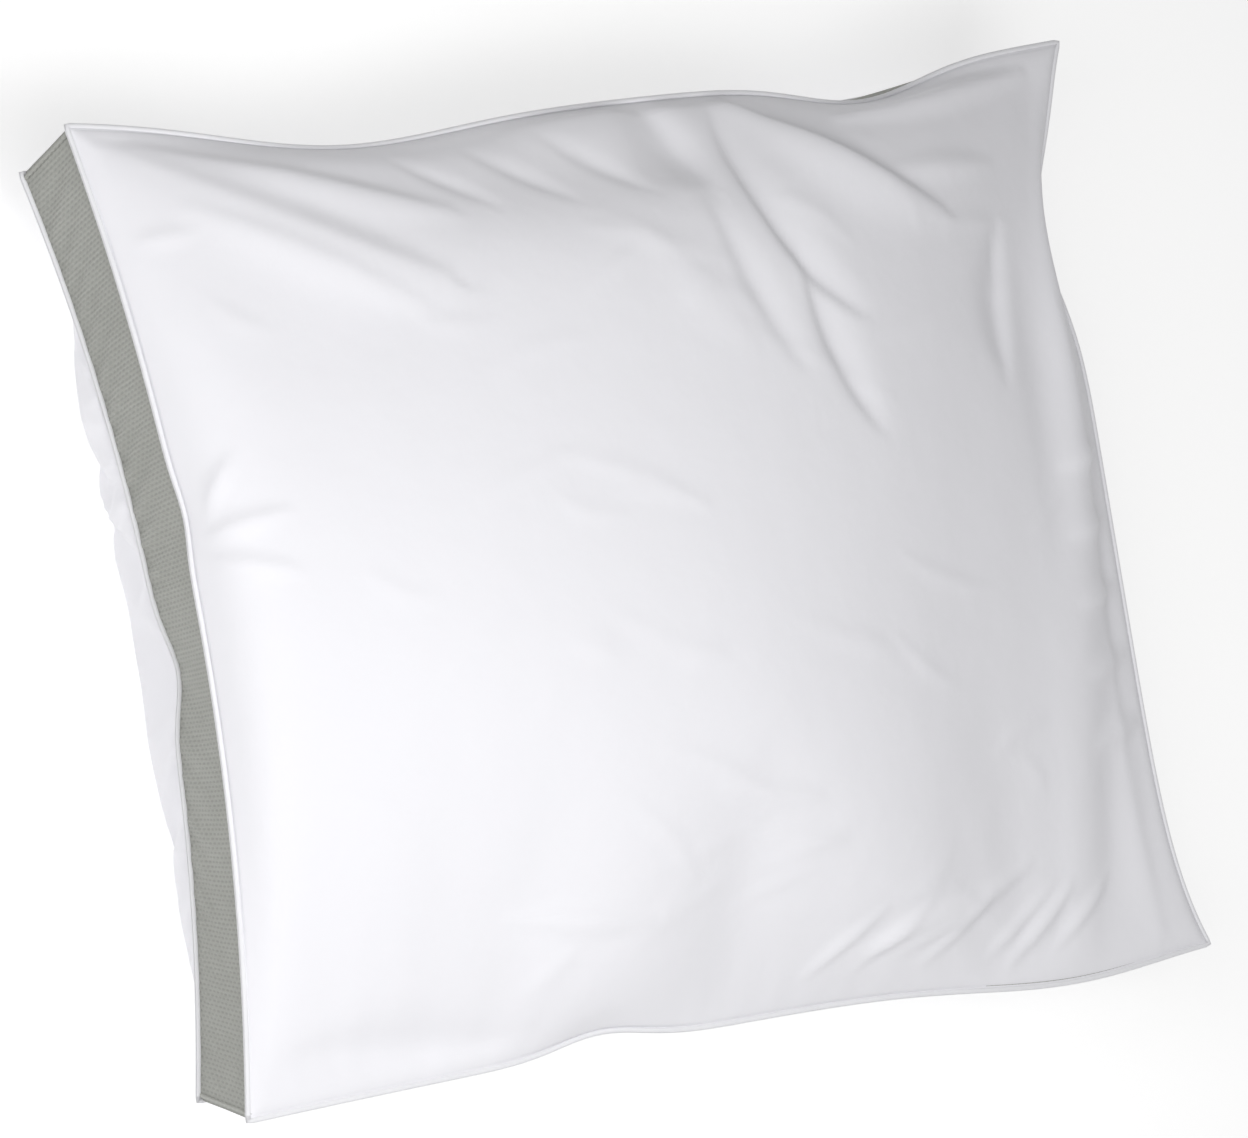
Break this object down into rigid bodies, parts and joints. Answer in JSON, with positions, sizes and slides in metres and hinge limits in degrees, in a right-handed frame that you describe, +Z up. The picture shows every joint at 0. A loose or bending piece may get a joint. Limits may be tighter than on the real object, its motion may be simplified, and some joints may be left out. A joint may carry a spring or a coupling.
{
  "type": "bed pillow",
  "caption": "Rectangular bed pillow with crowned cotton panels, a mesh gusset between them and a thin piping in each seam, filled with loose fibre.",
  "frame": {"origin": "middle of the pillow's resting face, on the surface it lies on", "axes": "+Z up, out of the top panel; +X along the long side; +Y along the short side, towards the head side"},
  "size_m": [0.6628, 0.5116, 0.169],
  "materials": {
    "cotton_panel": "white cotton percale, matt",
    "gusset_mesh": "grey polyester spacer mesh, matt",
    "piping_cotton": "white bias-cut cotton, matt",
    "piping_cord": "soft white cotton cord",
    "sewing_thread": "white polyester thread",
    "polyester_fibre": "loose white hollow fibre"
  },
  "bodies": {
    "root": {"top_panel": "cotton_panel", "bottom_panel": "cotton_panel", "gusset_left": "gusset_mesh", "gusset_right": "gusset_mesh", "gusset_head": "gusset_mesh", "gusset_foot": "gusset_mesh", "gusset_corner_threads": "sewing_thread", "top_seam_thread": "sewing_thread", "bottom_seam_thread": "sewing_thread", "closing_seam_thread": "sewing_thread", "top_piping_cover": "piping_cotton", "bottom_piping_cover": "piping_cotton", "top_piping_cord": "piping_cord", "bottom_piping_cord": "piping_cord", "fibre_fill": "polyester_fibre"}
  },
  "joints": []
}
